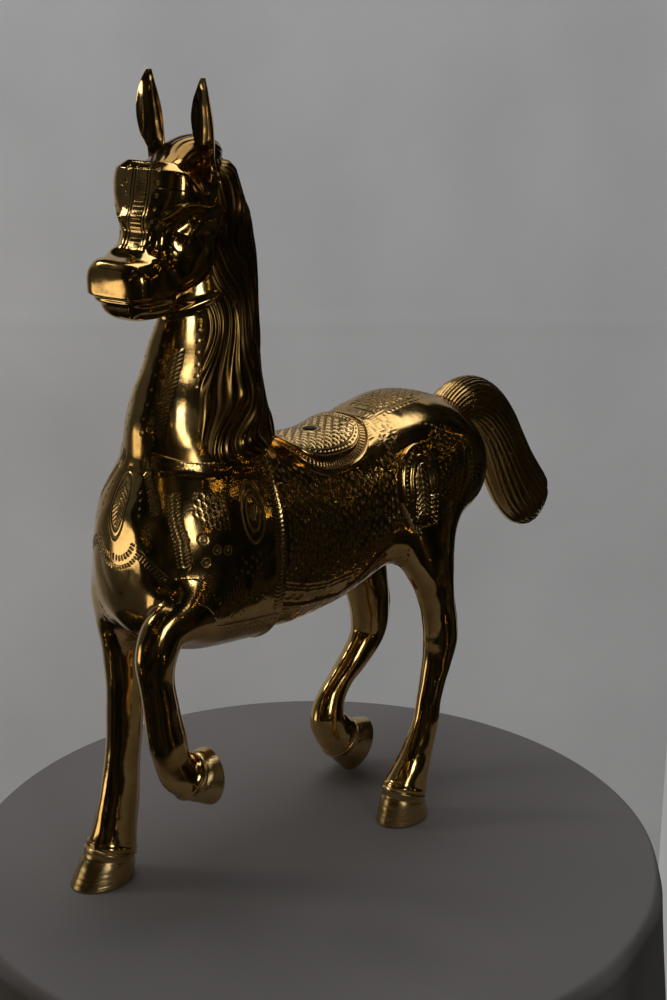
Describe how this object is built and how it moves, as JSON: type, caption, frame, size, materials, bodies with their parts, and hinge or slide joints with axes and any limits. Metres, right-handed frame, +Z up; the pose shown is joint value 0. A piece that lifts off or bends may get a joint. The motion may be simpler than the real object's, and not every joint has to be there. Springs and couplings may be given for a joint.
{
  "type": "horse statue",
  "caption": "Free-standing walking horse statue in polished, engraved cast brass, with a raised foreleg, long mane, saddle and arched tail.",
  "frame": {"origin": "centre of the whole part's footprint, on the surface it stands on", "axes": "+Z up, the horse faces -Y with its tail towards +Y, and its left side is +X"},
  "size_m": [0.136, 0.5058, 0.62],
  "materials": {
    "polished_brass": "cast, filed and buffed to a mirror with slight tarnish",
    "engraved_brass": "buffed, chased and punched with ornament, the cuts left dark",
    "satin_brass": "linished satin brass, brushed round the hoof",
    "dark_steel": "dulled steel screw and pins"
  },
  "bodies": {
    "root": {"front_body": "engraved_brass", "rear_body": "engraved_brass", "neck": "engraved_brass", "head": "polished_brass", "forelock": "engraved_brass", "ear_left": "polished_brass", "ear_right": "polished_brass", "mane": "engraved_brass", "foreleg_left": "polished_brass", "foreleg_right": "polished_brass", "hindleg_left": "polished_brass", "hindleg_right": "polished_brass", "hoof_fore_left": "satin_brass", "hoof_fore_right": "satin_brass", "hoof_hind_left": "satin_brass", "hoof_hind_right": "satin_brass", "hoof_pins": "dark_steel", "tail": "engraved_brass", "saddle_pad": "engraved_brass", "saddle_seat": "engraved_brass", "saddle_screw": "dark_steel", "saddle_nut": "dark_steel", "hip_ornament_left": "engraved_brass", "hip_ornament_right": "engraved_brass"}
  },
  "joints": []
}
